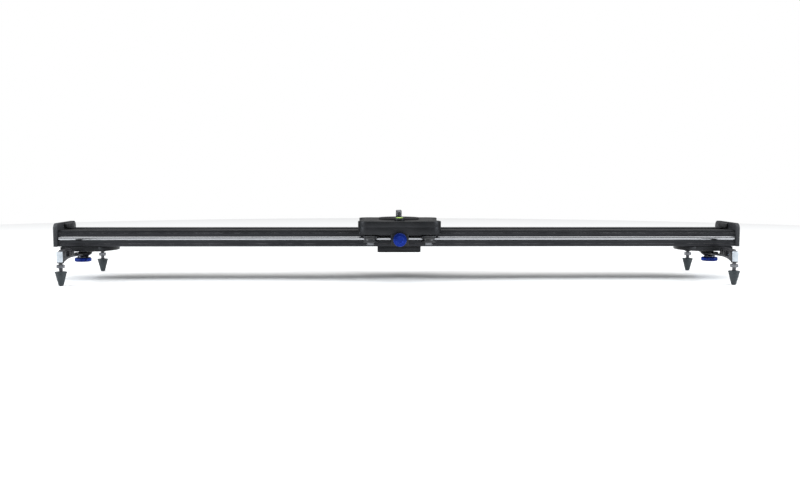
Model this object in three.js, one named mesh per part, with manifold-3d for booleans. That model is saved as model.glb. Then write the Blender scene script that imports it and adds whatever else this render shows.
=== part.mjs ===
// A camera slider: an aluminium rail on two turning leg brackets with four screw-in cone feet, and a carriage
// that runs on grooved rollers along two steel guide rods and is held by a side brake.
// Millimetres. X runs along the rail, -Y is the operator's side, +Z is up, and the feet stand on Z = 0.
import * as THREE from "three";
import { mergeVertices } from "three/addons/utils/BufferGeometryUtils.js";
import Module from "manifold-3d";

const wasm = await Module();
wasm.setup();

// Driving dimensions
const TOUCH = 0.3; // gap kept between pieces that touch
const OVERALL_LENGTH = 1000; // over the end caps

const RAIL_BOTTOM = 50;
const RAIL_HEIGHT = 24;
const RAIL_HALF_WIDTH = 40;
const RAIL_WALL = 3;
const RAIL_CHAMFER = 1.5;
const CHANNEL_HALF_WIDTH = 18; // the shallow channel along the top
const CHANNEL_DEPTH = 8;
const WEB_INNER = 14; // the two inner webs run from here to WEB_OUTER
const WEB_OUTER = 22;
const ROD_RADIUS = 3;
const ROD_Y = 39.2;
const ROD_Z = 62;

const CAP_THICKNESS = 6;
const CAP_HALF_WIDTH = 43.5;
const CAP_TOP = 84;
const CAP_CORNER = 8;
const CAP_SCREW_HEIGHT = RAIL_BOTTOM + 8;
const CAP_SCREW_RADIUS = 2;
const CAP_SCREW_HEAD_RADIUS = 4;
const BUMPER_LENGTH = 6;
const BUMPER_HALF_WIDTH = 13;

const LEG_X = 471; // the leg brackets' turning axes, either side of the middle
const FOOT_Y = 100; // the feet, either side of the leg's axis
const LEG_BOLT_RADIUS = 4;
const LEG_BOLT_HEAD_FLATS = 13;
const MOUNT_BOTTOM = 42.9; // the plates under the rail's ends that the legs turn against
const MOUNT_OUTER_X = 491;
const MOUNT_RADIUS = 53; // the round inner end, about the leg's axis
const BRACKET_HALF_THICKNESS = 4.4;
const BRACKET_TOP = RAIL_BOTTOM - TOUCH;
const BRACKET_DEEP_Y = 56.8; // from here outwards the arm is as deep as its truss, clear of the mount plate
const BRACKET_CHORD_TOP = 38.6; // the slim bar between the hub and the truss
const BRACKET_ARCH_BOTTOM = 37;
const BRACKET_SLOT_PITCH = 6.5;
const BRACKET_WEB = 1.5; // half the thickness of the web inside the pocket
const BRACKET_POST_Y = 91; // where the truss ends at the foot's post
const BRACKET_TIP_Y = FOOT_Y + BRACKET_HALF_THICKNESS;
const BRACKET_TIP_BOTTOM = 33.3;
const BRACKET_TIP_TOP = 47.8;
const BRACKET_HUB_RADIUS = 13;
const BRACKET_HUB_BOTTOM = 33;
const BRACKET_NECK_RADIUS = 6; // what stands on the hub and meets the mount plate
const LEG_KNOB_RADIUS = 12;
const LEG_KNOB_BOTTOM = 25;
const LEG_KNOB_TOP = 31;

const CONE_HEIGHT = 20;
const CONE_TOP_RADIUS = 8.25;
const CONE_TIP_RADIUS = 3.9;
const CONE_TIP_ROUNDING = 2.8;
const STEM_RADIUS = 2.9; // an M6 thread
const STEM_BOTTOM = 6.3;
const STEM_TOP = 49;
const LOCK_NUT_FLATS = 10;
const LOCK_NUT_BOTTOM = 25;
const LOCK_NUT_HEIGHT = 4.7;
const FOOT_WASHER_RADIUS = 4.7;
const FOOT_WASHER_BOTTOM = 31.6;

const TRIPOD_PLATE_HALF_LENGTH = 32;
const TRIPOD_PLATE_HALF_WIDTH = 25;
const TRIPOD_PLATE_BOTTOM = 42;
const TRIPOD_PAD_THICKNESS = 1.5;
const TRIPOD_SOCKET_RADIUS = 4.5; // for a 3/8 inch screw
const TRIPOD_BOLT_X = 22;

const CARRIAGE_HALF_LENGTH = 60;
const CARRIAGE_HALF_WIDTH = 64;
const CARRIAGE_BOTTOM = 78;
const CARRIAGE_TOP = 88;
const CARRIAGE_CORNER = 14;
const CARRIAGE_WAIST = 9; // how far the ends curve in
const SKIRT_BOTTOM = 68.5;
const SKIRT_INNER_Y = 44.5;

const ROLLER_X = 42;
const ROLLER_Y = 51.4;
const ROLLER_RADIUS = 11;
const ROLLER_HALF_HEIGHT = 5;
const GROOVE_RADIUS = 3.4;
const AXLE_RADIUS = 3;
const AXLE_HEAD_RADIUS = 6;
const AXLE_HEAD_HEIGHT = 3.7;
const SPACER_RADIUS = 5;

const CAMERA_PAD_RADIUS = 30;
const CAMERA_PAD_THICKNESS = 2.5;
const CAMERA_STUD_RADIUS = 4.76; // a 3/8 inch screw
const CAMERA_STUD_TOP = 102;
const CAMERA_STUD_HEAD_RADIUS = 9;
const CAMERA_STUD_HEAD_BOTTOM = 73;

const LEVEL_Y = -46;
const LEVEL_RADIUS = 8;
const LEVEL_WALL = 1.6;

const BRAKE_LUG_HALF_LENGTH = 13;
const BRAKE_LUG_BOTTOM = 54;
const BRAKE_SCREW_RADIUS = 3;
const BRAKE_KNOB_RADIUS = 10;
const BRAKE_KNOB_INNER_Y = -66;
const BRAKE_KNOB_OUTER_Y = -79;
const BRAKE_SHOE_TRAVEL = 0.7;

// Values worked out from the driving dimensions
const RAIL_TOP = RAIL_BOTTOM + RAIL_HEIGHT;
const CHANNEL_FLOOR = RAIL_TOP - CHANNEL_DEPTH;
const CAP_INNER_X = OVERALL_LENGTH / 2 - CAP_THICKNESS;
const RAIL_HALF_LENGTH = CAP_INNER_X - TOUCH;
const CAP_SCREW_Y = (WEB_INNER + WEB_OUTER) / 2; // the caps' screws go into the webs
const CLEARANCE_FIT = 0.3; // extra radius of a hole over the pin that turns or slides in it

// Colours and finishes
const BLACK_ANODISE = [0x26282b, 0.42, 0.75];
const BLACK_PAINT = [0x35373b, 0.5, 0.4];
const BLUE_ANODISE = [0x2450b8, 0.32, 0.8];
const STEEL = [0xb4b8bd, 0.25, 1];
const DARK_STEEL = [0x3a3d40, 0.38, 0.9];
const RUBBER = [0x3d4548, 0.85, 0];
const CORK_RUBBER = [0x1d1e20, 0.92, 0];
const NYLON = [0x202225, 0.6, 0];
const LEVEL_LIQUID = [0xbfe04a, 0.1, 0];

function finish([color, roughness, metalness]) {
  return new THREE.MeshStandardMaterial({ color, roughness, metalness });
}

// A closed geometry as a solid that can be cut and joined.
function solid(geometry) {
  const bare = geometry.clone();
  bare.deleteAttribute("normal");
  bare.deleteAttribute("uv");
  const merged = mergeVertices(bare, 1e-3);
  return new wasm.Manifold(
    new wasm.Mesh({
      numProp: 3,
      vertProperties: new Float32Array(merged.attributes.position.array),
      triVerts: new Uint32Array(merged.index.array),
    }),
  );
}

// A solid as a geometry that a mesh can show.
function shown(made) {
  const { vertProperties, triVerts } = made.getMesh();
  const geometry = new THREE.BufferGeometry();
  geometry.setAttribute("position", new THREE.BufferAttribute(vertProperties, 3));
  geometry.setIndex(new THREE.BufferAttribute(triVerts, 1));
  geometry.computeVertexNormals();
  return geometry;
}

function block([x0, y0, z0], [x1, y1, z1]) {
  const box = new THREE.BoxGeometry(x1 - x0, y1 - y0, z1 - z0);
  return solid(box.translate((x0 + x1) / 2, (y0 + y1) / 2, (z0 + z1) / 2));
}

// A round bar along Z.
function bar(radius, bottom, top, sides = 16) {
  const cylinder = new THREE.CylinderGeometry(radius, radius, top - bottom, sides);
  return solid(cylinder.rotateX(Math.PI / 2).translate(0, 0, (bottom + top) / 2));
}

// A hexagonal bar along Z, measured across its flats.
function hexBar(flats, bottom, top) {
  return bar(flats / Math.sqrt(3), bottom, top, 6);
}

// A solid turned about Z from [radius, height] points that run up the outside, from the axis back to the axis.
function turned(points, sides = 20) {
  const profile = points.map(([radius, height]) => new THREE.Vector2(radius, height));
  return solid(new THREE.LatheGeometry(profile, sides).rotateX(Math.PI / 2));
}

// A flat shape in XY pushed up from bottom to top.
function raised(shape, bottom, top, curveSegments = 8) {
  const options = { depth: top - bottom, bevelEnabled: false, curveSegments };
  return solid(new THREE.ExtrudeGeometry(shape, options).translate(0, 0, bottom));
}

// A shape drawn in (Y, Z) pushed along X from start to end.
function alongX(shape, start, end, curveSegments = 8) {
  const options = { depth: end - start, bevelEnabled: false, curveSegments };
  const geometry = new THREE.ExtrudeGeometry(shape, options);
  geometry.applyMatrix4(new THREE.Matrix4().set(0, 0, 1, start, 1, 0, 0, 0, 0, 1, 0, 0, 0, 0, 0, 1));
  return solid(geometry);
}

// A knurled disc along Z: a circle whose edge is scalloped.
function knurledBar(radius, depth, teeth, bottom, top) {
  const shape = new THREE.Shape();
  for (let i = 0; i < teeth * 2; i += 1) {
    const r = i % 2 ? radius - depth : radius;
    const angle = (i * Math.PI) / teeth;
    const point = [r * Math.cos(angle), r * Math.sin(angle)];
    if (i === 0) shape.moveTo(...point);
    else shape.lineTo(...point);
  }
  return raised(shape, bottom, top);
}

function polygon(points) {
  return new THREE.Shape(points.map(([a, b]) => new THREE.Vector2(a, b)));
}

const slider = new THREE.Group();

function add(parent, name, made, look) {
  const mesh = new THREE.Mesh(shown(made), finish(look));
  mesh.name = name;
  parent.add(mesh);
  return mesh;
}

const ENDS = [
  ["left", -1],
  ["right", 1],
];
const SIDES = [
  ["front", -1],
  ["rear", 1],
];

// The rail's outline in (Y, Z), with a shallow channel along the top.
function railOutline() {
  const right = [
    [RAIL_HALF_WIDTH - RAIL_CHAMFER, RAIL_BOTTOM],
    [RAIL_HALF_WIDTH, RAIL_BOTTOM + RAIL_CHAMFER],
    [RAIL_HALF_WIDTH, RAIL_TOP - RAIL_CHAMFER],
    [RAIL_HALF_WIDTH - RAIL_CHAMFER, RAIL_TOP],
    [CHANNEL_HALF_WIDTH, RAIL_TOP],
    [CHANNEL_HALF_WIDTH, CHANNEL_FLOOR],
  ];
  const left = right.map(([y, z]) => [-y, z]).reverse();
  return polygon([...right, ...left]);
}

// The three cells that run the rail's whole length, each as [inner Y, outer Y, top].
function railCells() {
  const outer = ROD_Y - ROD_RADIUS - RAIL_WALL;
  return [
    [-WEB_INNER, WEB_INNER, CHANNEL_FLOOR - RAIL_WALL],
    [WEB_OUTER, outer, RAIL_TOP - RAIL_WALL],
    [-outer, -WEB_OUTER, RAIL_TOP - RAIL_WALL],
  ];
}

// The groove and the rod in it share this round section, one a little larger than the other.
function rodBar(radius, side, halfLength, sides) {
  return bar(radius, -halfLength, halfLength, sides).rotate([0, 90, 0]).translate([0, side * ROD_Y, ROD_Z]);
}

function rail() {
  let made = alongX(railOutline(), -RAIL_HALF_LENGTH, RAIL_HALF_LENGTH);
  for (const [y0, y1, top] of railCells()) {
    made = made.subtract(block([-OVERALL_LENGTH, y0, RAIL_BOTTOM + RAIL_WALL], [OVERALL_LENGTH, y1, top]));
  }
  for (const [, side] of SIDES) {
    made = made.subtract(rodBar(ROD_RADIUS + TOUCH, side, OVERALL_LENGTH, 16));
  }
  for (const [, end] of ENDS) {
    const legHole = bar(LEG_BOLT_RADIUS + CLEARANCE_FIT, RAIL_BOTTOM - 1, RAIL_TOP);
    const plateHole = bar(STEM_RADIUS + CLEARANCE_FIT, RAIL_BOTTOM - 1, RAIL_TOP, 16);
    made = made.subtract(legHole.translate([end * LEG_X, 0, 0]));
    made = made.subtract(plateHole.translate([end * TRIPOD_BOLT_X, 0, 0]));
    for (const [, side] of SIDES) {
      const screwHole = bar(CAP_SCREW_RADIUS + CLEARANCE_FIT, -16, 1, 12).rotate([0, end * 90, 0]);
      const place = [end * RAIL_HALF_LENGTH, side * CAP_SCREW_Y, CAP_SCREW_HEIGHT];
      made = made.subtract(screwHole.translate(place));
    }
  }
  return made;
}

// An end cap: a plate across the rail's end, tall enough to carry the bumper that stops the carriage.
function endCap(end) {
  const shape = new THREE.Shape();
  shape.moveTo(-CAP_HALF_WIDTH, RAIL_BOTTOM);
  shape.lineTo(CAP_HALF_WIDTH, RAIL_BOTTOM);
  shape.lineTo(CAP_HALF_WIDTH, CAP_TOP - CAP_CORNER);
  shape.absarc(CAP_HALF_WIDTH - CAP_CORNER, CAP_TOP - CAP_CORNER, CAP_CORNER, 0, Math.PI / 2);
  shape.lineTo(-CAP_HALF_WIDTH + CAP_CORNER, CAP_TOP);
  shape.absarc(-CAP_HALF_WIDTH + CAP_CORNER, CAP_TOP - CAP_CORNER, CAP_CORNER, Math.PI / 2, Math.PI);
  const outer = end * (OVERALL_LENGTH / 2);
  const inner = end * CAP_INNER_X;
  let made = alongX(shape, Math.min(inner, outer), Math.max(inner, outer));
  for (const [, side] of SIDES) {
    const seat = bar(CAP_SCREW_HEAD_RADIUS + CLEARANCE_FIT, 2.6, 10);
    const hole = bar(CAP_SCREW_RADIUS + CLEARANCE_FIT, -10, 10, 12).add(seat);
    const place = [end * CAP_INNER_X, side * CAP_SCREW_Y, CAP_SCREW_HEIGHT];
    made = made.subtract(hole.rotate([0, end * 90, 0]).translate(place));
  }
  return made;
}

function capScrew(end, side) {
  const head = bar(CAP_SCREW_HEAD_RADIUS, 2.9, CAP_THICKNESS - 0.2).subtract(hexBar(2.5, 4, 7));
  const made = bar(CAP_SCREW_RADIUS, -12, 3, 12).add(head);
  const place = [end * CAP_INNER_X, side * CAP_SCREW_Y, CAP_SCREW_HEIGHT];
  return made.rotate([0, end * 90, 0]).translate(place);
}

// A rubber bar with rounded corners on the cap's inner face, at the height of the carriage plate.
function bumper(end) {
  const back = CAP_INNER_X - TOUCH;
  const shape = new THREE.Shape();
  shape.moveTo(back, -BUMPER_HALF_WIDTH);
  shape.lineTo(back, BUMPER_HALF_WIDTH);
  shape.lineTo(back - BUMPER_LENGTH / 2, BUMPER_HALF_WIDTH);
  shape.absarc(back - BUMPER_LENGTH / 2, BUMPER_HALF_WIDTH - 3, 3, Math.PI / 2, Math.PI);
  shape.absarc(back - BUMPER_LENGTH / 2, -BUMPER_HALF_WIDTH + 3, 3, Math.PI, 1.5 * Math.PI);
  const made = raised(shape, RAIL_TOP + 2, CAP_TOP - 1.5, 5);
  return end > 0 ? made : made.mirror([1, 0, 0]);
}

// The leg bracket's side view: slim beside the hub, then a deep truss, then a post at the tip.
function bracketOutline() {
  const curve = new THREE.QuadraticBezierCurve(
    new THREE.Vector2(BRACKET_POST_Y - 29, BRACKET_ARCH_BOTTOM),
    new THREE.Vector2(BRACKET_POST_Y - 7, BRACKET_ARCH_BOTTOM),
    new THREE.Vector2(BRACKET_POST_Y + 4, BRACKET_TIP_BOTTOM),
  );
  const right = [
    [BRACKET_HUB_RADIUS, BRACKET_HUB_BOTTOM + 1.6],
    [36, BRACKET_ARCH_BOTTOM - 0.8],
    ...curve.getPoints(8).map(({ x, y }) => [x, y]),
    [BRACKET_TIP_Y, BRACKET_TIP_BOTTOM],
    [BRACKET_TIP_Y, BRACKET_TIP_TOP],
    [BRACKET_POST_Y + 4, BRACKET_TIP_TOP],
    [BRACKET_POST_Y + 2, BRACKET_TOP],
    [BRACKET_DEEP_Y, BRACKET_TOP],
    [BRACKET_DEEP_Y - 5, BRACKET_CHORD_TOP],
  ];
  const left = right.map(([y, z]) => [-y, z]).reverse();
  return polygon([...right, ...left]);
}

// A pocket beside the post, sunk into both faces down to a thin web, with a triangular window through it.
function cutPocket(made, side) {
  const far = 2 * BRACKET_HALF_THICKNESS;
  const outer = side * (BRACKET_POST_Y - 0.6);
  const inner = side * (BRACKET_POST_Y - 15);
  const [y0, y1] = [Math.min(inner, outer), Math.max(inner, outer)];
  const [bottom, top] = [BRACKET_CHORD_TOP + 0.4, BRACKET_TOP - 2.5];
  const window = polygon([
    [outer - side, bottom + 1],
    [outer - side, top - 1],
    [inner + side * 0.4, bottom + 1],
  ]);
  return made
    .subtract(block([BRACKET_WEB, y0, bottom], [far, y1, top]))
    .subtract(block([-far, y0, bottom], [-BRACKET_WEB, y1, top]))
    .subtract(alongX(window, -far, far));
}

// Three slots between upright ribs, sunk into both faces of an arm.
function cutSlots(made, side) {
  const far = 2 * BRACKET_HALF_THICKNESS;
  const [bottom, top] = [BRACKET_CHORD_TOP + 0.9, BRACKET_TOP - 2.5];
  for (let slot = 0; slot < 3; slot += 1) {
    const y = side * (BRACKET_DEEP_Y + 2.7 + BRACKET_SLOT_PITCH * slot);
    made = made
      .subtract(block([2, y - 1.7, bottom], [far, y + 1.7, top]))
      .subtract(block([-far, y - 1.7, bottom], [-2, y + 1.7, top]));
  }
  return made;
}

// A leg bracket about its own turning axis. The neck on its hub bears on the mount plate.
function legBracket() {
  const hubTop = BRACKET_CHORD_TOP - 0.2;
  const neckTop = MOUNT_BOTTOM - TOUCH;
  const hub = turned(
    [
      [0, BRACKET_HUB_BOTTOM],
      [BRACKET_HUB_RADIUS - 5, BRACKET_HUB_BOTTOM],
      [BRACKET_HUB_RADIUS, BRACKET_HUB_BOTTOM + 3.8],
      [BRACKET_HUB_RADIUS, hubTop],
      [BRACKET_NECK_RADIUS, hubTop],
      [BRACKET_NECK_RADIUS, neckTop],
      [0, neckTop],
    ],
    28,
  );
  let made = alongX(bracketOutline(), -BRACKET_HALF_THICKNESS, BRACKET_HALF_THICKNESS).add(hub);
  for (const [, side] of SIDES) {
    const bore = bar(STEM_RADIUS + CLEARANCE_FIT, BRACKET_TIP_BOTTOM - 2, BRACKET_TOP + 2);
    made = cutPocket(cutSlots(made, side), side).subtract(bore.translate([0, side * FOOT_Y, 0]));
  }
  return made.subtract(bar(LEG_BOLT_RADIUS + CLEARANCE_FIT, BRACKET_HUB_BOTTOM - 2, BRACKET_TOP + 2));
}

// A plate under the rail's end, clamped by the leg's pivot bolt, with a round inner end that the folded leg clears.
function legMount(end) {
  const shape = new THREE.Shape();
  const half = Math.asin(RAIL_HALF_WIDTH / MOUNT_RADIUS);
  shape.moveTo(MOUNT_OUTER_X, -RAIL_HALF_WIDTH);
  shape.lineTo(MOUNT_OUTER_X, RAIL_HALF_WIDTH);
  shape.absarc(LEG_X, 0, MOUNT_RADIUS, Math.PI - half, Math.PI + half);
  const hole = bar(LEG_BOLT_RADIUS + CLEARANCE_FIT, 0, RAIL_TOP).translate([LEG_X, 0, 0]);
  const made = raised(shape, MOUNT_BOTTOM, RAIL_BOTTOM - TOUCH, 24).subtract(hole);
  return end > 0 ? made : made.mirror([1, 0, 0]);
}

function legPivotBolt() {
  const headBottom = CHANNEL_FLOOR + TOUCH;
  const head = hexBar(LEG_BOLT_HEAD_FLATS, headBottom, headBottom + 5.3);
  return bar(LEG_BOLT_RADIUS, LEG_KNOB_BOTTOM + 1.3, headBottom + 1).add(head);
}

function legKnob() {
  const grip = knurledBar(LEG_KNOB_RADIUS, 0.7, 20, LEG_KNOB_BOTTOM + 0.8, LEG_KNOB_TOP - 0.8);
  const core = bar(LEG_KNOB_RADIUS - 0.9, LEG_KNOB_BOTTOM, LEG_KNOB_TOP, 20);
  return grip.add(core).subtract(bar(LEG_BOLT_RADIUS + CLEARANCE_FIT, LEG_KNOB_BOTTOM + 1, LEG_KNOB_TOP + 1));
}

function ring(outer, inner, bottom, top, sides = 16) {
  return bar(outer, bottom, top, sides).subtract(bar(inner, bottom - 1, top + 1, sides));
}

// A rubber cone, narrow end down, with a blind hole from the top for the stem.
function footCone() {
  const points = [[0, 0]];
  for (let step = 0; step <= 3; step += 1) {
    const angle = (step * Math.PI) / 6;
    const radius = CONE_TIP_RADIUS - CONE_TIP_ROUNDING * (1 - Math.sin(angle));
    points.push([radius, CONE_TIP_ROUNDING * (1 - Math.cos(angle))]);
  }
  points.push([CONE_TOP_RADIUS, CONE_HEIGHT - 1], [CONE_TOP_RADIUS - 0.8, CONE_HEIGHT], [0, CONE_HEIGHT]);
  return turned(points).subtract(bar(STEM_RADIUS + CLEARANCE_FIT, STEM_BOTTOM - TOUCH, CONE_HEIGHT + 1));
}

function footStem() {
  const slot = block([-0.5, -5, STEM_TOP - 1.2], [0.5, 5, STEM_TOP + 1]);
  const chamfer = 0.7;
  const points = [
    [0, STEM_BOTTOM],
    [STEM_RADIUS - chamfer, STEM_BOTTOM],
    [STEM_RADIUS, STEM_BOTTOM + chamfer],
    [STEM_RADIUS, STEM_TOP - chamfer],
    [STEM_RADIUS - chamfer, STEM_TOP],
    [0, STEM_TOP],
  ];
  return turned(points, 16).subtract(slot);
}

function lockNut() {
  const nut = hexBar(LOCK_NUT_FLATS, LOCK_NUT_BOTTOM, LOCK_NUT_BOTTOM + LOCK_NUT_HEIGHT);
  return nut.subtract(bar(STEM_RADIUS + CLEARANCE_FIT, 0, STEM_TOP));
}

// One leg: its bracket with the parts that turn with it, its knob and its two feet.
function leg(endName, end) {
  const group = new THREE.Group();
  group.position.x = end * LEG_X;
  add(group, `leg_bracket_${endName}`, legBracket(), BLACK_PAINT);
  add(group, `leg_pivot_bolt_${endName}`, legPivotBolt(), DARK_STEEL);
  add(group, `leg_knob_${endName}`, legKnob(), BLUE_ANODISE);
  const washerTop = BRACKET_HUB_BOTTOM - TOUCH;
  const washer = ring(LEG_BOLT_RADIUS * 2, LEG_BOLT_RADIUS + CLEARANCE_FIT, LEG_KNOB_TOP + TOUCH, washerTop);
  add(group, `leg_washer_${endName}`, washer, STEEL);
  for (const [sideName, side] of SIDES) {
    const foot = new THREE.Group();
    foot.position.y = side * FOOT_Y;
    const where = `${endName}_${sideName}`;
    add(foot, `foot_cone_${where}`, footCone(), RUBBER);
    add(foot, `foot_stem_${where}`, footStem(), STEEL);
    add(foot, `foot_lock_nut_${where}`, lockNut(), STEEL);
    const top = BRACKET_TIP_BOTTOM - TOUCH;
    const small = ring(FOOT_WASHER_RADIUS, STEM_RADIUS + CLEARANCE_FIT, FOOT_WASHER_BOTTOM, top);
    add(foot, `foot_washer_${where}`, small, DARK_STEEL);
    group.add(foot);
  }
  return group;
}

// The plate under the rail's middle that a tripod head screws to, with its rubber face and its two bolts.
function tripodMount() {
  const group = new THREE.Group();
  const x = TRIPOD_PLATE_HALF_LENGTH;
  const y = TRIPOD_PLATE_HALF_WIDTH;
  const top = RAIL_BOTTOM - TOUCH;
  let plate = block([-x, -y, TRIPOD_PLATE_BOTTOM], [x, y, top]);
  plate = plate.subtract(bar(TRIPOD_SOCKET_RADIUS, TRIPOD_PLATE_BOTTOM - 1, top + 1));
  const padTop = TRIPOD_PLATE_BOTTOM - TOUCH;
  const padBottom = padTop - TRIPOD_PAD_THICKNESS;
  const pad = block([-x, -y, padBottom], [x, y, padTop]).subtract(bar(TRIPOD_SOCKET_RADIUS + 2, 0, top));
  const headBottom = CHANNEL_FLOOR + TOUCH;
  for (const [endName, end] of ENDS) {
    const bore = bar(STEM_RADIUS + CLEARANCE_FIT, TRIPOD_PLATE_BOTTOM + 1.5, top + 1, 16);
    plate = plate.subtract(bore.translate([end * TRIPOD_BOLT_X, 0, 0]));
    const head = bar(5, headBottom, headBottom + 4).subtract(hexBar(5, headBottom + 1.5, headBottom + 5));
    const bolt = bar(STEM_RADIUS, TRIPOD_PLATE_BOTTOM + 2, headBottom + 1, 16).add(head);
    add(group, `tripod_bolt_${endName}`, bolt.translate([end * TRIPOD_BOLT_X, 0, 0]), DARK_STEEL);
  }
  add(group, "tripod_plate", plate, BLACK_ANODISE);
  add(group, "tripod_pad", pad, CORK_RUBBER);
  return group;
}

// The carriage plate's outline: rounded corners, straight sides and ends that curve in.
function carriageOutline() {
  const x = CARRIAGE_HALF_LENGTH;
  const y = CARRIAGE_HALF_WIDTH;
  const r = CARRIAGE_CORNER;
  const shape = new THREE.Shape();
  shape.moveTo(-x + r, -y);
  shape.lineTo(x - r, -y);
  shape.absarc(x - r, -y + r, r, -Math.PI / 2, 0);
  shape.quadraticCurveTo(x - 2 * CARRIAGE_WAIST, 0, x, y - r);
  shape.absarc(x - r, y - r, r, 0, Math.PI / 2);
  shape.lineTo(-x + r, y);
  shape.absarc(-x + r, y - r, r, Math.PI / 2, Math.PI);
  shape.quadraticCurveTo(-x + 2 * CARRIAGE_WAIST, 0, -x, -y + r);
  shape.absarc(-x + r, -y + r, r, Math.PI, 1.5 * Math.PI);
  return shape;
}

// The carriage: a plate with a skirt down each side for the rollers, and a lug on the front skirt for the brake.
function carriageBody() {
  let made = raised(carriageOutline(), CARRIAGE_BOTTOM, CARRIAGE_TOP, 6);
  const whole = raised(carriageOutline(), SKIRT_BOTTOM, CARRIAGE_BOTTOM + 1, 6);
  const x = CARRIAGE_HALF_LENGTH + 1;
  const gap = block([-x, -SKIRT_INNER_Y, SKIRT_BOTTOM - 1], [x, SKIRT_INNER_Y, CARRIAGE_BOTTOM]);
  made = made.add(whole.subtract(gap));
  const lug = BRAKE_LUG_HALF_LENGTH;
  const lugInner = -SKIRT_INNER_Y - 1.5;
  made = made.add(block([-lug, -CARRIAGE_HALF_WIDTH, BRAKE_LUG_BOTTOM], [lug, lugInner, SKIRT_BOTTOM + 1]));
  for (const [, end] of ENDS) {
    for (const [, side] of SIDES) {
      const bore = bar(AXLE_RADIUS + CLEARANCE_FIT, SKIRT_BOTTOM - 1, CARRIAGE_TOP + 1);
      made = made.subtract(bore.translate([end * ROLLER_X, side * ROLLER_Y, 0]));
    }
  }
  made = made.subtract(bar(CAMERA_STUD_RADIUS + CLEARANCE_FIT, CARRIAGE_BOTTOM - 1, CARRIAGE_TOP + 1));
  const brakeBore = bar(BRAKE_SCREW_RADIUS + CLEARANCE_FIT, -CARRIAGE_HALF_WIDTH, CARRIAGE_HALF_WIDTH);
  const onlyFront = brakeBore.rotate([90, 0, 0]).translate([0, -CARRIAGE_HALF_WIDTH - 20, ROD_Z]);
  return made.subtract(onlyFront);
}

// A roller turned with a round groove that fits the guide rod.
function roller() {
  const h = ROLLER_HALF_HEIGHT;
  const reach = ROLLER_Y - ROD_Y; // from the roller's axis to the rod's centre
  const edge = Math.sqrt(GROOVE_RADIUS ** 2 - (reach - ROLLER_RADIUS) ** 2);
  const start = Math.atan2(edge, reach - ROLLER_RADIUS);
  const steps = 4;
  const points = [[0, -h], [ROLLER_RADIUS - 0.5, -h], [ROLLER_RADIUS, -h + 0.5]];
  for (let i = 0; i <= steps; i += 1) {
    const angle = start - (2 * start * i) / steps;
    points.push([reach - GROOVE_RADIUS * Math.cos(angle), -GROOVE_RADIUS * Math.sin(angle)]);
  }
  points.push([ROLLER_RADIUS, h - 0.5], [ROLLER_RADIUS - 0.5, h], [0, h]);
  return turned(points, 24).subtract(bar(AXLE_RADIUS + CLEARANCE_FIT, -h - 1, h + 1)).translate([0, 0, ROD_Z]);
}

function rollerAxle() {
  const headTop = ROD_Z - ROLLER_HALF_HEIGHT - TOUCH;
  const headBottom = headTop - AXLE_HEAD_HEIGHT;
  const head = bar(AXLE_HEAD_RADIUS, headBottom, headTop).subtract(hexBar(4, headBottom - 1, headBottom + 2.2));
  return bar(AXLE_RADIUS, headTop - 1, CARRIAGE_TOP - 0.5).add(head);
}

function addRollers(group) {
  const spacerBottom = ROD_Z + ROLLER_HALF_HEIGHT + TOUCH;
  const spacerTop = SKIRT_BOTTOM - TOUCH;
  for (const [endName, end] of ENDS) {
    for (const [sideName, side] of SIDES) {
      const corner = new THREE.Group();
      corner.position.set(end * ROLLER_X, side * ROLLER_Y, 0);
      const where = `${endName}_${sideName}`;
      add(corner, `roller_${where}`, roller(), NYLON);
      add(corner, `roller_axle_${where}`, rollerAxle(), STEEL);
      const spacer = ring(SPACER_RADIUS, AXLE_RADIUS + CLEARANCE_FIT, spacerBottom, spacerTop);
      add(corner, `roller_spacer_${where}`, spacer, STEEL);
      group.add(corner);
    }
  }
}

// The seat for a ball head: a round rubber pad with a screw through it, held by a flange under the plate.
function addCameraSeat(group) {
  const padBottom = CARRIAGE_TOP + TOUCH;
  const padTop = padBottom + CAMERA_PAD_THICKNESS;
  const pad = ring(CAMERA_PAD_RADIUS, CAMERA_STUD_RADIUS + CLEARANCE_FIT, padBottom, padTop, 36);
  add(group, "camera_pad", pad, CORK_RUBBER);
  const flangeTop = CARRIAGE_BOTTOM - TOUCH;
  const stud = turned([
    [0, CAMERA_STUD_HEAD_BOTTOM],
    [CAMERA_STUD_HEAD_RADIUS, CAMERA_STUD_HEAD_BOTTOM],
    [CAMERA_STUD_HEAD_RADIUS, flangeTop],
    [CAMERA_STUD_RADIUS, flangeTop],
    [CAMERA_STUD_RADIUS, CAMERA_STUD_TOP - 1],
    [CAMERA_STUD_RADIUS - 1, CAMERA_STUD_TOP],
    [0, CAMERA_STUD_TOP],
  ]);
  add(group, "camera_stud", stud, STEEL);
}

// A round bubble level at the front of the plate: a cup with a domed vial in it.
function addLevel(group) {
  const bottom = CARRIAGE_TOP + TOUCH;
  const cup = new THREE.Group();
  cup.position.y = LEVEL_Y;
  const inner = LEVEL_RADIUS - LEVEL_WALL;
  const housing = bar(LEVEL_RADIUS, bottom, bottom + 4, 20).subtract(bar(inner, bottom + 1, bottom + 5, 20));
  add(cup, "level_cup", housing, BLACK_ANODISE);
  const vialBottom = bottom + 1 + TOUCH;
  const r = inner - TOUCH;
  const vial = turned([
    [0, vialBottom],
    [r, vialBottom],
    [r, bottom + 3.6],
    [r * 0.8, bottom + 4.3],
    [r * 0.45, bottom + 4.8],
    [0, bottom + 5],
  ]);
  add(cup, "level_vial", vial, LEVEL_LIQUID);
  group.add(cup);
}

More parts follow.
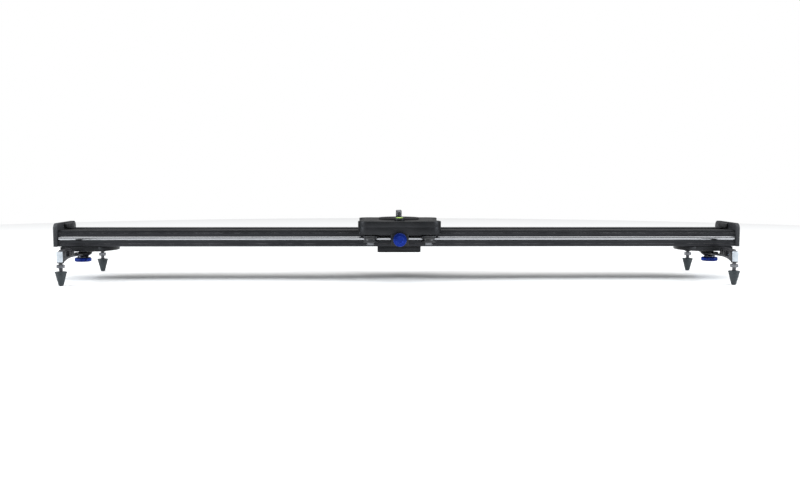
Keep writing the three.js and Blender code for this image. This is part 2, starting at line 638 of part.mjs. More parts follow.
// The brake: a knob on a screw through the lug, which presses a nylon shoe on the front guide rod.
function addBrake(group) {
  const headLength = BRAKE_KNOB_INNER_Y - BRAKE_KNOB_OUTER_Y;
  const grip = knurledBar(BRAKE_KNOB_RADIUS, 0.7, 20, 1, headLength - 1);
  const core = bar(BRAKE_KNOB_RADIUS - 1, 0, headLength, 20);
  const screwLength = 17;
  const screw = bar(BRAKE_SCREW_RADIUS, headLength - 1, headLength + screwLength);
  const knob = grip.add(core).add(screw);
  // local +Z becomes +Y, towards the rail
  const placed = knob.rotate([-90, 0, 0]).translate([0, BRAKE_KNOB_OUTER_Y, ROD_Z]);
  add(group, "brake_knob", placed, BLUE_ANODISE);
  const rodFace = -(ROD_Y + ROD_RADIUS);
  const shoeTip = rodFace - BRAKE_SHOE_TRAVEL - 0.1;
  const shoeBack = BRAKE_KNOB_INNER_Y + screwLength + TOUCH;
  const shoe = bar(BRAKE_SCREW_RADIUS - 0.1, shoeBack, shoeTip).rotate([-90, 0, 0]);
  add(group, "brake_shoe", shoe.translate([0, 0, ROD_Z]), NYLON);
}

function carriage() {
  const group = new THREE.Group();
  add(group, "carriage", carriageBody(), BLACK_ANODISE);
  addRollers(group);
  addCameraSeat(group);
  addLevel(group);
  addBrake(group);
  return group;
}

add(slider, "rail", rail(), BLACK_ANODISE);
for (const [sideName, side] of SIDES) {
  add(slider, `guide_rod_${sideName}`, rodBar(ROD_RADIUS, side, RAIL_HALF_LENGTH - TOUCH, 16), STEEL);
}
for (const [endName, end] of ENDS) {
  add(slider, `end_cap_${endName}`, endCap(end), BLACK_PAINT);
  add(slider, `leg_mount_${endName}`, legMount(end), BLACK_ANODISE);
  add(slider, `bumper_${endName}`, bumper(end), RUBBER);
  for (const [sideName, side] of SIDES) {
    add(slider, `end_cap_screw_${endName}_${sideName}`, capScrew(end, side), DARK_STEEL);
  }
  slider.add(leg(endName, end));
}
slider.add(tripodMount());
slider.add(carriage());

export default slider;
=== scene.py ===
import math

import bmesh
import bpy
from mathutils import Matrix, Vector


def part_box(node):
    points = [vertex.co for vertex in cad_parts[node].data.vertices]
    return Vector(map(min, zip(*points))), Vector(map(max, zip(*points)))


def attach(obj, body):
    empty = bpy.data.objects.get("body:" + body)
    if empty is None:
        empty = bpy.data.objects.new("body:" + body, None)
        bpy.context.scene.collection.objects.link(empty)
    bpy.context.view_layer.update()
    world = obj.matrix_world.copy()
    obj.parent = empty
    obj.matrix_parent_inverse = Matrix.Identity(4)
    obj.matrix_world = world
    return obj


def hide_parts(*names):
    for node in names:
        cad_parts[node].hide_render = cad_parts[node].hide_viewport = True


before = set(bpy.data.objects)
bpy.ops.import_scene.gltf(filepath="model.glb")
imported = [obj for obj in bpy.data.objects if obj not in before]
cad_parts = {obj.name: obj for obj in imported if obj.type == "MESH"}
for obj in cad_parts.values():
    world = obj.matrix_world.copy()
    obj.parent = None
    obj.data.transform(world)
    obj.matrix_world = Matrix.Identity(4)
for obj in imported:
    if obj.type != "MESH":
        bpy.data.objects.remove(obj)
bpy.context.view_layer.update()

MM = 0.001
ENDS = {"left": -1, "right": 1}
SIDES = {"front": -1, "rear": 1}
CORNERS = [f"{end}_{side}" for end in ENDS for side in SIDES]

# Sizes and places in millimetres, named where a piece's own box in the frame doesn't give them
LEG_X = 471  # the legs' turning axes, left and right of the middle
FOOT_Y = 100  # the feet, in front of and behind a leg's axis
ARM_HALF_THICKNESS = 4.4
ARM_SLIM_Y = 51.8  # where an arm's top starts to rise from its slim middle
ARM_SLIM_TOP = 38.6
ARM_DEEP_Y = 56.8  # where it reaches full depth
ARM_ARCH_TOP = 37
ARM_POST_Y = 95
ARM_TIP_BOTTOM = 33.3
ARM_TIP_TOP = 47.8
ARM_WINDOW = ((89.4, 40), (89.4, 46.2), (76.4, 40))  # (Y, Z) corners
ARM_SLOTS = 3
ARM_SLOT_Y = 59.5  # the first slot's middle
ARM_SLOT_PITCH = 6.5
ARM_SLOT_HALF_WIDTH = 1.7
ARM_RECESS_TOP = 47.2
MOUNT_RADIUS = 53  # a mount plate's round inner end, about the leg's axis
MOUNT_SCREW_X = 436
MOUNT_SCREW_Y = 24
ROD_Y = 39.2
ROD_Z = 62
CAP_SCREW_Y = 18
CAP_SCREW_Z = 58
ROLLER_X = 42
ROLLER_Y = 51.4
PLATE_BOTTOM = 78  # the carriage's plate
SKIRT_BOTTOM = 68.5
SKIRT_INNER_Y = 44.5
CARRIAGE_CORNER = 14
CARRIAGE_WAIST = 9  # how far the plate's ends curve in
FLOOR_RADIUS = 1900


# ---------------------------------------------------------------- camera

CAMERA_PLACE = Vector((-0.032, -1.412, 0.1563))
CAMERA_YAW = math.radians(1.375)    # towards +X
CAMERA_PITCH = math.radians(4.186)  # downwards
CAMERA_ROLL = math.radians(0.062)
CAMERA_LENS = 42.42


def make_camera():
    data = bpy.data.cameras.new("camera")
    data.lens = CAMERA_LENS
    data.sensor_width = 36
    data.clip_start = 0.01
    camera = bpy.data.objects.new("camera", data)
    bpy.context.scene.collection.objects.link(camera)
    aim = Matrix.Rotation(-CAMERA_YAW, 4, "Z") @ Matrix.Rotation(math.pi / 2 - CAMERA_PITCH, 4, "X")
    camera.matrix_world = Matrix.Translation(CAMERA_PLACE) @ aim @ Matrix.Rotation(CAMERA_ROLL, 4, "Z")
    bpy.context.scene.camera = camera


# ---------------------------------------------------------------- materials


class Nodes:
    """A material's node tree with short calls to add and join nodes."""

    def __init__(self, name):
        self.material = bpy.data.materials.new(name)
        self.material.use_nodes = True
        self.tree = self.material.node_tree
        self.bsdf = self.tree.nodes["Principled BSDF"]
        self.place = self.add("ShaderNodeTexCoord").outputs["Object"]

    def add(self, kind, **values):
        node = self.tree.nodes.new(kind)
        for name, value in values.items():
            setattr(node, name, value)
        return node

    def join(self, output, socket):
        self.tree.links.new(output, socket)

    def stretched(self, scale):
        mapping = self.add("ShaderNodeMapping")
        mapping.inputs["Scale"].default_value = scale
        self.join(self.place, mapping.inputs["Vector"])
        return mapping.outputs["Vector"]

    def noise(self, scale, detail=4.0, rough=0.55, place=None):
        node = self.add("ShaderNodeTexNoise")
        node.inputs["Scale"].default_value = scale
        node.inputs["Detail"].default_value = detail
        node.inputs["Roughness"].default_value = rough
        self.join(place or self.place, node.inputs["Vector"])
        return node.outputs["Fac"]

    def ramp(self, source, low, high, start=0.35, end=0.65):
        node = self.add("ShaderNodeMapRange")
        for name, value in zip(("From Min", "From Max", "To Min", "To Max"), (start, end, low, high)):
            node.inputs[name].default_value = value
        self.join(source, node.inputs["Value"])
        return node.outputs["Result"]

    def math(self, operation, a, b=None):
        node = self.add("ShaderNodeMath", operation=operation)
        for socket, value in zip(node.inputs, (a, b)):
            if isinstance(value, (int, float)):
                socket.default_value = value
            elif value is not None:
                self.join(value, socket)
        return node.outputs[0]

    def mix(self, share, a, b):
        node = self.add("ShaderNodeMix", data_type="RGBA")
        self.join(share, node.inputs["Factor"])
        for socket, value in ((node.inputs["A"], a), (node.inputs["B"], b)):
            if isinstance(value, tuple):
                socket.default_value = (*value, 1)
            else:
                self.join(value, socket)
        return node.outputs["Result"]

    def worn_edges(self, radius, patches, amount):
        """0 on a flat face, rising to 1 on an edge, broken up by a noise of that scale."""
        bevel = self.add("ShaderNodeBevel", samples=4)
        bevel.inputs["Radius"].default_value = radius
        geometry = self.add("ShaderNodeNewGeometry")
        dot = self.add("ShaderNodeVectorMath", operation="DOT_PRODUCT")
        self.join(bevel.outputs["Normal"], dot.inputs[0])
        self.join(geometry.outputs["Normal"], dot.inputs[1])
        edge = self.ramp(dot.outputs["Value"], 1, 0, start=0.82, end=0.985)
        rubbed = self.ramp(self.noise(patches, 5), 0, amount, start=0.42, end=0.7)
        return self.math("MULTIPLY", edge, rubbed)

    def bumps(self, *layers):
        """Stacks (height, strength, distance) bumps on the shader's normal."""
        below = None
        for height, strength, distance in layers:
            bump = self.add("ShaderNodeBump")
            bump.inputs["Strength"].default_value = strength
            bump.inputs["Distance"].default_value = distance
            self.join(height, bump.inputs["Height"])
            if below is not None:
                self.join(below, bump.inputs["Normal"])
            below = bump.outputs["Normal"]
        self.join(below, self.bsdf.inputs["Normal"])

    def set(self, **values):
        for name, value in values.items():
            self.bsdf.inputs[name.replace("_", " ")].default_value = value

    def feed(self, name, output):
        self.join(output, self.bsdf.inputs[name])


def anodised(name, dark, light, worn, roughness, grain=2600):
    """Bead-blasted anodised aluminium: a fine even grain, faint patches and rubbed edges."""
    n = Nodes(name)
    n.set(Metallic=0.85, Specular_IOR_Level=0.5)
    patches = n.ramp(n.noise(22, 5), 0, 1)
    colour = n.mix(patches, dark, light)
    wear = n.worn_edges(0.0007, 140, 0.55)
    n.feed("Base Color", n.mix(wear, colour, worn))
    smudges = n.ramp(n.noise(38, 6, 0.6), roughness - 0.06, roughness + 0.09)
    n.feed("Roughness", smudges)
    n.bumps((n.noise(grain, 2), 0.16, 0.00006), (n.noise(grain / 6, 3), 0.05, 0.0001))
    return n.material


def drawn_anodised(name, dark, light, worn, roughness):
    """An anodised extrusion: the same finish with faint die lines along X."""
    n = Nodes(name)
    n.set(Metallic=0.8, Anisotropic=0.35)
    lines = n.noise(1, 5, 0.6, n.stretched((6, 1500, 1500)))
    patches = n.ramp(n.noise(9, 5), 0, 1)
    colour = n.mix(patches, dark, light)
    wear = n.worn_edges(0.0006, 60, 0.6)
    n.feed("Base Color", n.mix(wear, colour, worn))
    rub = n.ramp(n.noise(1, 4, 0.5, n.stretched((9, 60, 60))), -0.05, 0.09)
    n.feed("Roughness", n.math("ADD", n.ramp(lines, roughness - 0.05, roughness + 0.07), rub))
    n.bumps((lines, 0.12, 0.00005), (n.noise(2400, 2), 0.08, 0.00004))
    return n.material


def powder_coat(name, dark, light, worn, roughness, texture):
    """Semi-matt paint on a casting: orange-peel texture, uneven patches and chipped edges."""
    n = Nodes(name)
    n.set(Metallic=0.1, Specular_IOR_Level=0.28)
    colour = n.mix(n.ramp(n.noise(30, 6), 0, 1), dark, light)
    wear = n.worn_edges(0.0005, 220, 0.35)
    n.feed("Base Color", n.mix(wear, colour, worn))
    n.feed("Roughness", n.ramp(n.noise(90, 5), roughness - 0.08, roughness + 0.1))
    n.bumps((n.noise(texture, 3), 0.32, 0.00012), (n.noise(texture / 5, 2), 0.12, 0.0002))
    return n.material


def metal(name, dark, light, roughness, stretch=(400, 400, 400), lines=0.1, metallic=1.0):
    """Plated or ground metal: stretched fine scratches and a slightly uneven sheen."""
    n = Nodes(name)
    n.set(Metallic=metallic)
    scratches = n.noise(1, 4, 0.6, n.stretched(stretch))
    n.feed("Base Color", n.mix(n.ramp(n.noise(160, 4), 0, 1), dark, light))
    smears = n.ramp(n.noise(70, 4), -0.03, 0.06)
    n.feed("Roughness", n.math("ADD", n.ramp(scratches, roughness - 0.04, roughness + 0.06), smears))
    n.bumps((scratches, lines, 0.00004))
    return n.material


def rubber(name, dark, light, roughness, grain, dust_amount=0.25):
    """Moulded rubber: a pebbled skin, dusty in patches."""
    n = Nodes(name)
    dust = (0.2, 0.2, 0.19)
    n.set(Specular_IOR_Level=0.35)
    colour = n.mix(n.ramp(n.noise(120, 5), 0, 1), dark, light)
    patches = n.ramp(n.noise(45, 7, 0.65), 0, dust_amount, start=0.5, end=0.8)
    n.feed("Base Color", n.mix(patches, colour, dust))
    n.feed("Roughness", n.ramp(n.noise(300, 4), roughness - 0.1, roughness + 0.08))
    n.bumps((n.noise(grain, 4), 0.35, 0.00012), (n.noise(grain / 8, 3), 0.12, 0.0003))
    return n.material


def cork_rubber(name):
    """The seat pads: black rubber with fine paler crumbs pressed into it."""
    n = Nodes(name)
    n.set(Roughness=0.88, Specular_IOR_Level=0.3)
    crumbs = n.add("ShaderNodeTexVoronoi", feature="F1")
    crumbs.inputs["Scale"].default_value = 900
    n.join(n.place, crumbs.inputs["Vector"])
    share = n.ramp(crumbs.outputs["Distance"], 1, 0, start=0.12, end=0.3)
    colour = n.mix(n.ramp(n.noise(60, 5), 0, 1), (0.012, 0.012, 0.013), (0.026, 0.026, 0.027))
    n.feed("Base Color", n.mix(n.math("MULTIPLY", share, 0.6), colour, (0.085, 0.075, 0.062)))
    n.bumps((crumbs.outputs["Distance"], 0.5, 0.00025), (n.noise(1600, 3), 0.2, 0.0001))
    return n.material


def vial_liquid(name):
    """The level's clear vial, full of yellow-green liquid."""
    n = Nodes(name)
    n.set(Roughness=0.06, Coat_Weight=1.0, Coat_Roughness=0.03, Subsurface_Weight=0.25)
    n.set(Subsurface_Radius=(0.003, 0.004, 0.001))
    n.feed("Base Color", n.mix(n.ramp(n.noise(180, 3), 0, 1), (0.36, 0.62, 0.05), (0.5, 0.8, 0.1)))
    return n.material


def plastic(name, dark, light, roughness):
    """Turned acetal: fine lathe lines and a soft sheen."""
    n = Nodes(name)
    n.set(Specular_IOR_Level=0.45)
    n.feed("Base Color", n.mix(n.ramp(n.noise(90, 4), 0, 1), dark, light))
    lines = n.noise(1, 3, 0.5, n.stretched((60, 60, 3500)))
    n.feed("Roughness", n.ramp(lines, roughness - 0.06, roughness + 0.08))
    n.bumps((lines, 0.15, 0.00005))
    return n.material


def black_finishes():
    """The black coatings: each has a dark and a light shade, and the colour its edges are rubbed to."""
    bare = (0.62, 0.63, 0.65)
    grey = ((0.022, 0.023, 0.026), (0.034, 0.035, 0.039))
    satin = ((0.02, 0.021, 0.023), (0.032, 0.033, 0.036))
    paint = ((0.01, 0.01, 0.012), (0.018, 0.018, 0.021))
    return {
        "rail": drawn_anodised("rail_anodise", *grey, (0.3, 0.3, 0.31), 0.36),
        "black": anodised("black_anodise", *satin, (0.34, 0.34, 0.35), 0.4),
        "bracket": powder_coat("bracket_paint", *paint, bare, 0.4, 1500),
        "cap": powder_coat("cap_powder_coat", *grey, bare, 0.5, 2100),
    }


def metals():
    # The milled colours: bare machined metal on the arms' tips and window walls, tinted pale blue as a
    # painted reflection of the bright surround.
    mill_with_painted_reflection = ((0.5, 0.55, 0.6), (0.62, 0.67, 0.72))
    rod = ((0.4, 0.41, 0.43), (0.44, 0.45, 0.47))
    zinc = ((0.1, 0.104, 0.115), (0.2, 0.204, 0.216))
    oxide = ((0.014, 0.014, 0.016), (0.03, 0.03, 0.033))
    blue = ((0.003, 0.013, 0.15), (0.006, 0.026, 0.24), (0.25, 0.36, 0.6))
    return {
        "milled_with_painted_reflection": metal("milled_tip_with_painted_reflection", *mill_with_painted_reflection, 0.3, (250, 250, 2600), 0.15),
        "chrome": metal("ground_rod", *rod, 0.13, (8, 1800, 1800), 0.02),
        "zinc": metal("zinc_plate", *zinc, 0.2, (700, 700, 1800), 0.12),
        "oxide": metal("black_oxide", *oxide, 0.38, (900, 900, 900), 0.14, 0.3),
        "blue": anodised("blue_anodise", *blue, 0.26, 3200),
    }


def rubbers_and_plastics():
    foot = ((0.016, 0.022, 0.026), (0.027, 0.035, 0.04))
    bumper_shades = ((0.014, 0.014, 0.016), (0.024, 0.024, 0.026))
    acetal = ((0.02, 0.021, 0.023), (0.034, 0.035, 0.037))
    return {
        "foot": rubber("foot_rubber", *foot, 0.5, 1500, dust_amount=0.15),
        "rubber": rubber("bumper_rubber", *bumper_shades, 0.74, 1800),
        "pad": cork_rubber("seat_pad"),
        "acetal": plastic("black_acetal", *acetal, 0.38),
        "liquid": vial_liquid("vial_liquid"),
    }


# ---------------------------------------------------------------- shapes


def extent(node):
    """A CAD node's lowest corner, highest corner and middle, in millimetres."""
    low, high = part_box(node)
    return low / MM, high / MM, (low + high) / 2 / MM


def at(x, y, z, turn=None):
    """A matrix that puts local millimetres at a place, with local +Z turned to turn's direction."""
    moved = Matrix.Translation((x * MM, y * MM, z * MM))
    return moved @ Vector((0, 0, 1)).rotation_difference(Vector(turn)).to_matrix().to_4x4() if turn else moved


def hexagon(flats):
    """The radius of a hexagon at an angle, measured across its flats."""
    step = math.pi / 3
    return lambda angle: flats / 2 / math.cos((angle + step / 2) % step - step / 2)


def knurl(radius, depth, teeth):
    """The radius of a finely toothed rim at an angle."""
    return lambda angle: radius - depth * abs(math.sin(angle * teeth / 2)) ** 0.8


def add_turned(bm, rows, matrix, segments=48, loop=False):
    """Turns (radius, height) rows about local Z. Either may be a function of the angle."""
    rings = []
    for radius, height in rows:
        if radius == 0:
            rings.append([bm.verts.new(matrix @ Vector((0, 0, height * MM)))])
            continue
        ring = []
        for i in range(segments):
            angle = 2 * math.pi * i / segments
            r = radius(angle) if callable(radius) else radius
            h = height(angle) if callable(height) else height
            point = Vector((r * math.cos(angle), r * math.sin(angle), h)) * MM
            ring.append(bm.verts.new(matrix @ point))
        rings.append(ring)
    pairs = list(zip(rings, rings[1:]))
    if loop:
        pairs.append((rings[-1], rings[0]))
    for a, b in pairs:
        for i in range(segments):
            j = (i + 1) % segments
            corners = [a[i % len(a)], a[j % len(a)], b[j % len(b)], b[i % len(b)]]
            corners = [v for k, v in enumerate(corners) if v not in corners[:k]]
            bm.faces.new(corners)


def add_thread(bm, root, crest, pitch, low, high, matrix, steps=20):
    """A thread's ridge: a triangle swept along a helix, buried a little in the core it runs round."""
    foot = root - 0.15
    half = pitch * 0.44
    previous = None
    count = int((high - low - 2 * half) / pitch * steps)
    for k in range(count + 1):
        angle = 2 * math.pi * k / steps
        z = low + half + pitch * k / steps
        ring = []
        for r, h in ((foot, z - half), (crest, z), (foot, z + half)):
            point = Vector((r * math.cos(angle), r * math.sin(angle), h)) * MM
            ring.append(bm.verts.new(matrix @ point))
        if previous is None:
            bm.faces.new(ring)
        else:
            for i in range(3):
                j = (i + 1) % 3
                bm.faces.new([previous[i], previous[j], ring[j], ring[i]])
        previous = ring
    bm.faces.new(previous)


def add_slab(bm, loops, low, high, matrix=Matrix.Identity(4), bevel=0.6):
    """Fills loops of (x, y) points in millimetres, with any inner loops as holes.

    The filled area is thickened along local Z from low to high, with rounded edges.
    """
    curve = bpy.data.curves.new("slab", "CURVE")
    curve.dimensions = "2D"
    curve.fill_mode = "BOTH"
    curve.bevel_depth = bevel * MM
    curve.bevel_resolution = 2
    curve.offset = -bevel * MM
    curve.extrude = ((high - low) / 2 - bevel) * MM
    for loop in loops:
        spline = curve.splines.new("POLY")
        spline.points.add(len(loop) - 1)
        for point, (x, y) in zip(spline.points, loop):
            point.co = (x * MM, y * MM, 0, 1)
        spline.use_cyclic_u = True
    holder = bpy.data.objects.new("slab", curve)
    bpy.context.scene.collection.objects.link(holder)
    seen = holder.evaluated_get(bpy.context.evaluated_depsgraph_get())
    mesh = bpy.data.meshes.new_from_object(seen)
    mesh.transform(matrix @ Matrix.Translation((0, 0, (low + high) / 2 * MM)))
    bm.from_mesh(mesh)
    bpy.data.objects.remove(holder)
    bpy.data.curves.remove(curve)
    bpy.data.meshes.remove(mesh)


def rectangle(x0, y0, x1, y1, radius=0.0, steps=5):
    """A rectangle's points, with rounded corners."""
    if radius == 0:
        return [(x0, y0), (x1, y0), (x1, y1), (x0, y1)]
    points = []
    left, right, bottom, top = x0 + radius, x1 - radius, y0 + radius, y1 - radius
    centres = ((right, bottom), (right, top), (left, top), (left, bottom))
    for corner, (cx, cy) in enumerate(centres):
        for i in range(steps + 1):
            angle = math.pi / 2 * (corner - 1 + i / steps)
            points.append((cx + radius * math.cos(angle), cy + radius * math.sin(angle)))
    return points


def circle(cx, cy, radius, steps=32):
    return [
        (cx + radius * math.cos(2 * math.pi * i / steps), cy + radius * math.sin(2 * math.pi * i / steps))
        for i in range(steps)
    ]


# Local X, Y, Z to world Y, Z, X, so that a slab drawn in (Y, Z) thickens along X
ALONG_X = Matrix(((0, 0, 1, 0), (1, 0, 0, 0), (0, 1, 0, 0), (0, 0, 0, 1)))


def make_object(name, bm, materials, sharp=32):
    bmesh.ops.remove_doubles(bm, verts=bm.verts, dist=0.5e-6)
    bmesh.ops.dissolve_degenerate(bm, edges=bm.edges, dist=0.5e-6)
    bmesh.ops.recalc_face_normals(bm, faces=bm.faces)
    mesh = bpy.data.meshes.new(name)
    bm.to_mesh(mesh)
    bm.free()
    for material in materials:
        mesh.materials.append(material)
    mesh.polygons.foreach_set("use_smooth", [True] * len(mesh.polygons))
    mesh.set_sharp_from_angle(angle=math.radians(sharp))
    made = bpy.data.objects.new(name, mesh)
    bpy.context.scene.collection.objects.link(made)
    return made


def cut(target, cutter):
    """Cuts one object out of another, and removes the cutter."""
    modifier = target.modifiers.new("cut", "BOOLEAN")
    modifier.operation = "DIFFERENCE"
    modifier.solver = "EXACT"
    modifier.use_self = True
    modifier.object = cutter
    seen = target.evaluated_get(bpy.context.evaluated_depsgraph_get())
    mesh = bpy.data.meshes.new_from_object(seen)
    target.modifiers.clear()
    target.data = mesh
    mesh.polygons.foreach_set("use_smooth", [True] * len(mesh.polygons))
    mesh.set_sharp_from_angle(angle=math.radians(32))
    bpy.data.objects.remove(cutter)


def stands_for(piece, body, slot, *nodes):
    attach(piece, body)
    if nodes:
        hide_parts(*nodes)
    return piece


# ---------------------------------------------------------------- fasteners


def nut_rows(flats, height, bore):
    """A nut or a hexagon head with its corners chamfered by a cone."""
    across = hexagon(flats)
    rim = flats / 2 * 0.96
    slope = math.tan(math.radians(28))
    drop = lambda angle: (across(angle) - rim) * slope
    rows = [(rim, 0), (across, drop), (across, lambda a: height - drop(a)), (rim, height)]
    return [(bore, 0.4), (bore + 0.4, 0), *rows, (bore + 0.4, height), (bore, height - 0.4)]


def socket_head_rows(radius, height, flats, depth):
    """A cap screw's head, from the shank side up to the floor of its hexagon socket."""
    across = hexagon(flats)
    rim = lambda angle: across(angle) + 0.25
    return [
        (radius - 0.15, 0),
        (radius, 0.2),
        (radius, height - 0.5),
        (radius - 0.15, height - 0.15),
        (radius - 0.5, height),
        (rim, height),
        (across, height - 0.25),
        (across, height - depth),
        (0, height - depth - 0.4),
    ]


# ---------------------------------------------------------------- feet and legs


def foot_cone(where, look):
    node = f"foot_cone_{where}"
    low, high, mid = extent(node)
    tall = high.z - low.z
    top = (high.x - low.x) / 2
    tip = top * 0.473
    rounding = 3.0
    rows = [(0, 0)]
    for i in range(9):
        angle = math.pi / 2 * i / 9
        rows.append((tip - rounding + rounding * math.sin(angle), rounding * (1 - math.cos(angle))))
    slope = (top - tip) / (tall - rounding)
    for z in (3.4, 5, 8, 11, 14, 16.4):
        rows.append((tip + slope * (z - rounding), z))
    groove = tip + slope * (16.8 - rounding)
    rows += [(groove - 0.35, 16.9), (groove - 0.3, 17.3), (groove + 0.25, 17.45)]
    rows += [(top - 0.1, tall - 1.5), (top, tall - 0.9), (top - 0.3, tall - 0.25), (top - 0.9, tall)]
    rows += [(4.8, tall), (4.5, tall - 0.3)]
    rows += [(3.25, tall - 0.3), (3.15, tall - 1.2), (3.15, tall - 6), (0, tall - 6)]
    bm = bmesh.new()
    add_turned(bm, rows, at(mid.x, mid.y, low.z), 56)
    stands_for(make_object(f"cone_{where}", bm, [look["foot"]], 40), f"foot_{where}", "foot_rubber", node)


def foot_stem(where, look):
    node = f"foot_stem_{where}"
    low, high, mid = extent(node)
    root = 2.45
    crest = (high.x - low.x) / 2
    tall = high.z - low.z
    bm = bmesh.new()
    place = at(mid.x, mid.y, low.z)
    rows = [(0, 0), (root - 0.5, 0), (root, 0.6), (root, tall - 0.8), (root - 0.6, tall), (0, tall)]
    add_turned(bm, rows, place, 24)
    add_thread(bm, root, crest, 1.0, 1.0, tall - 0.9, place)
    stands_for(make_object(f"stem_{where}", bm, [look["zinc"]]), f"foot_stem_{where}", "plated_steel", node)


def lock_nut(where, look):
    node = f"foot_lock_nut_{where}"
    low, high, mid = extent(node)
    bm = bmesh.new()
    rows = nut_rows(high.x - low.x, high.z - low.z, 3.0)
    add_turned(bm, rows, at(mid.x, mid.y, low.z), 48, loop=True)
    made = make_object(f"nut_{where}", bm, [look["zinc"]], 25)
    stands_for(made, f"foot_lock_nut_{where}", "plated_steel", node)


def washer(name, node, body, bore, slot, material):
    low, high, mid = extent(node)
    outer = (high.x - low.x) / 2
    tall = high.z - low.z
    soft = min(0.3, tall / 4)
    rows = [(bore, soft), (bore + soft, 0), (outer - soft, 0), (outer, soft)]
    rows += [(outer, tall - soft), (outer - soft, tall), (bore + soft, tall), (bore, tall - soft)]
    bm = bmesh.new()
    add_turned(bm, rows, at(mid.x, mid.y, low.z), 40, loop=True)
    stands_for(make_object(name, bm, [material], 50), body, slot, node)


def bracket_outline(tip, top):
    """The arm's side view: slim beside the hub, then a deep truss, then a post at the tip."""
    right = [(13, 34.6), (36, 36.2)]
    for i in range(13):
        t = i / 12
        y = (1 - t) ** 2 * 62 + 2 * t * (1 - t) * 84 + t * t * ARM_POST_Y
        right.append((y, ARM_ARCH_TOP * (1 - t * t) + ARM_TIP_BOTTOM * t * t))
    right += [(tip, ARM_TIP_BOTTOM), (tip, ARM_TIP_TOP), (ARM_POST_Y, ARM_TIP_TOP)]
    right += [(ARM_POST_Y - 2, top), (ARM_DEEP_Y, top), (ARM_SLIM_Y, ARM_SLIM_TOP)]
    return right + [(-y, z) for y, z in reversed(right)]


def bracket_recesses(x, side):
    """What is sunk into both faces of an arm: three upright slots and the pocket beside the post."""
    bm = bmesh.new()
    for face in (-1, 1):
        for slot in range(ARM_SLOTS):
            y = side * (ARM_SLOT_Y + ARM_SLOT_PITCH * slot)
            y0, y1 = y - ARM_SLOT_HALF_WIDTH, y + ARM_SLOT_HALF_WIDTH
            near, far = sorted((face * 2, face * 9))
            loop = rectangle(y0, 39.5, y1, ARM_RECESS_TOP, 1.1, 3)
            add_slab(bm, [loop], x + near, x + far, ALONG_X, 0.3)
        y0, y1 = sorted((side * 76, side * 90.4))
        near, far = sorted((face * 1.5, face * 9))
        loop = rectangle(y0, 39, y1, ARM_RECESS_TOP, 1.2, 3)
        add_slab(bm, [loop], x + near, x + far, ALONG_X, 0.3)
    return make_object(f"recesses_{side}", bm, [])


def bare_face_with_painted_reflection(face, x, tip):
    """Whether an arm's face is machined bare, its pale bluish metal partly a painted reflection: its tip, or
    a wall of a window.
    """
    y, z = abs(face.center.y) / MM, face.center.z / MM
    if abs(face.normal.y) > 0.6 and y > tip - 0.7:
        return True
    if abs(face.normal.x) >= 0.3 or abs(face.center.x / MM - x) >= 1.45:
        return False
    return 76.3 < y < 89.5 and 39.9 < z < 46.3


def leg_bracket(end, look):
    node = f"leg_bracket_{end}"
    low, high, mid = extent(node)
    tip = (high.y - low.y) / 2
    loops = [bracket_outline(tip, high.z)]
    for side in SIDES.values():
        loops.append([(side * y, z) for y, z in ARM_WINDOW])
    bm = bmesh.new()
    add_slab(bm, loops, mid.x - ARM_HALF_THICKNESS, mid.x + ARM_HALF_THICKNESS, ALONG_X, 0.6)
    arm = make_object(f"bracket_{end}", bm, [look["bracket"], look["milled_with_painted_reflection"]])
    for side in SIDES.values():
        cut(arm, bracket_recesses(mid.x, side))
    bm = bmesh.new()
    bm.from_mesh(arm.data)
    bpy.data.objects.remove(arm)
    for side in SIDES.values():
        boss = [(3.3, 0.3), (3.6, 0), (4.4, 0), (4.7, 0.3), (4.7, 1), (3.3, 1)]
        add_turned(bm, boss, at(mid.x, side * FOOT_Y, 33.1), 32, loop=True)
    hub = [(4.4, 33.4), (4.8, 33), (7.6, 33), (8.3, 33.3)]
    hub += [(12.5, 36.3), (13, 37), (13, 38), (12.6, 38.4)]
    hub += [(6.5, 38.5), (6, 39), (6, 42.2), (5.6, 42.6), (4.8, 42.6), (4.4, 42.2)]
    add_turned(bm, hub, at(mid.x, 0, 0), 64, loop=True)
    whole = make_object(f"leg_arm_{end}", bm, [look["bracket"], look["milled_with_painted_reflection"]])
    # Tips and window walls take the pale bluish metal: bare machined metal, with a painted reflection in its
    # tint.
    for face in whole.data.polygons:
        if bare_face_with_painted_reflection(face, mid.x, tip):
            face.material_index = 1
    stands_for(whole, f"leg_{end}", "bracket_paint", node)


def leg_mount(end, look):
    """The plate under the rail's end, with a round inner end, and the two screws sunk into it."""
    node = f"leg_mount_{end}"
    low, high, _ = extent(node)
    sign = ENDS[end]
    outer = max(abs(low.x), abs(high.x))
    half = math.asin(high.y / MOUNT_RADIUS)
    outline = [(sign * outer, -sign * high.y), (sign * outer, sign * high.y)]
    for i in range(25):
        angle = math.pi - half + 2 * half * i / 24
        reach = LEG_X + MOUNT_RADIUS * math.cos(angle)
        outline.append((sign * reach, sign * MOUNT_RADIUS * math.sin(angle)))
    screws = [(sign * MOUNT_SCREW_X, side * MOUNT_SCREW_Y) for side in SIDES.values()]
    loops = [outline, circle(sign * LEG_X, 0, 4.3), *(circle(x, y, 3.8) for x, y in screws)]
    bm = bmesh.new()
    add_slab(bm, loops, low.z, high.z, bevel=0.6)
    plate = make_object(f"mount_plate_{end}", bm, [look["black"]])
    stands_for(plate, "rail", "black_anodised", node)
    bm = bmesh.new()
    for x, y in screws:
        place = at(x, y, low.z + 3.2, (0, 0, -1))
        add_turned(bm, [(0, -3), (3.5, -3), *socket_head_rows(3.5, 2.6, 2.5, 1.4)], place, 36)
    made = make_object(f"mount_screws_{end}", bm, [look["oxide"]], 25)
    stands_for(made, "rail", "dark_steel")


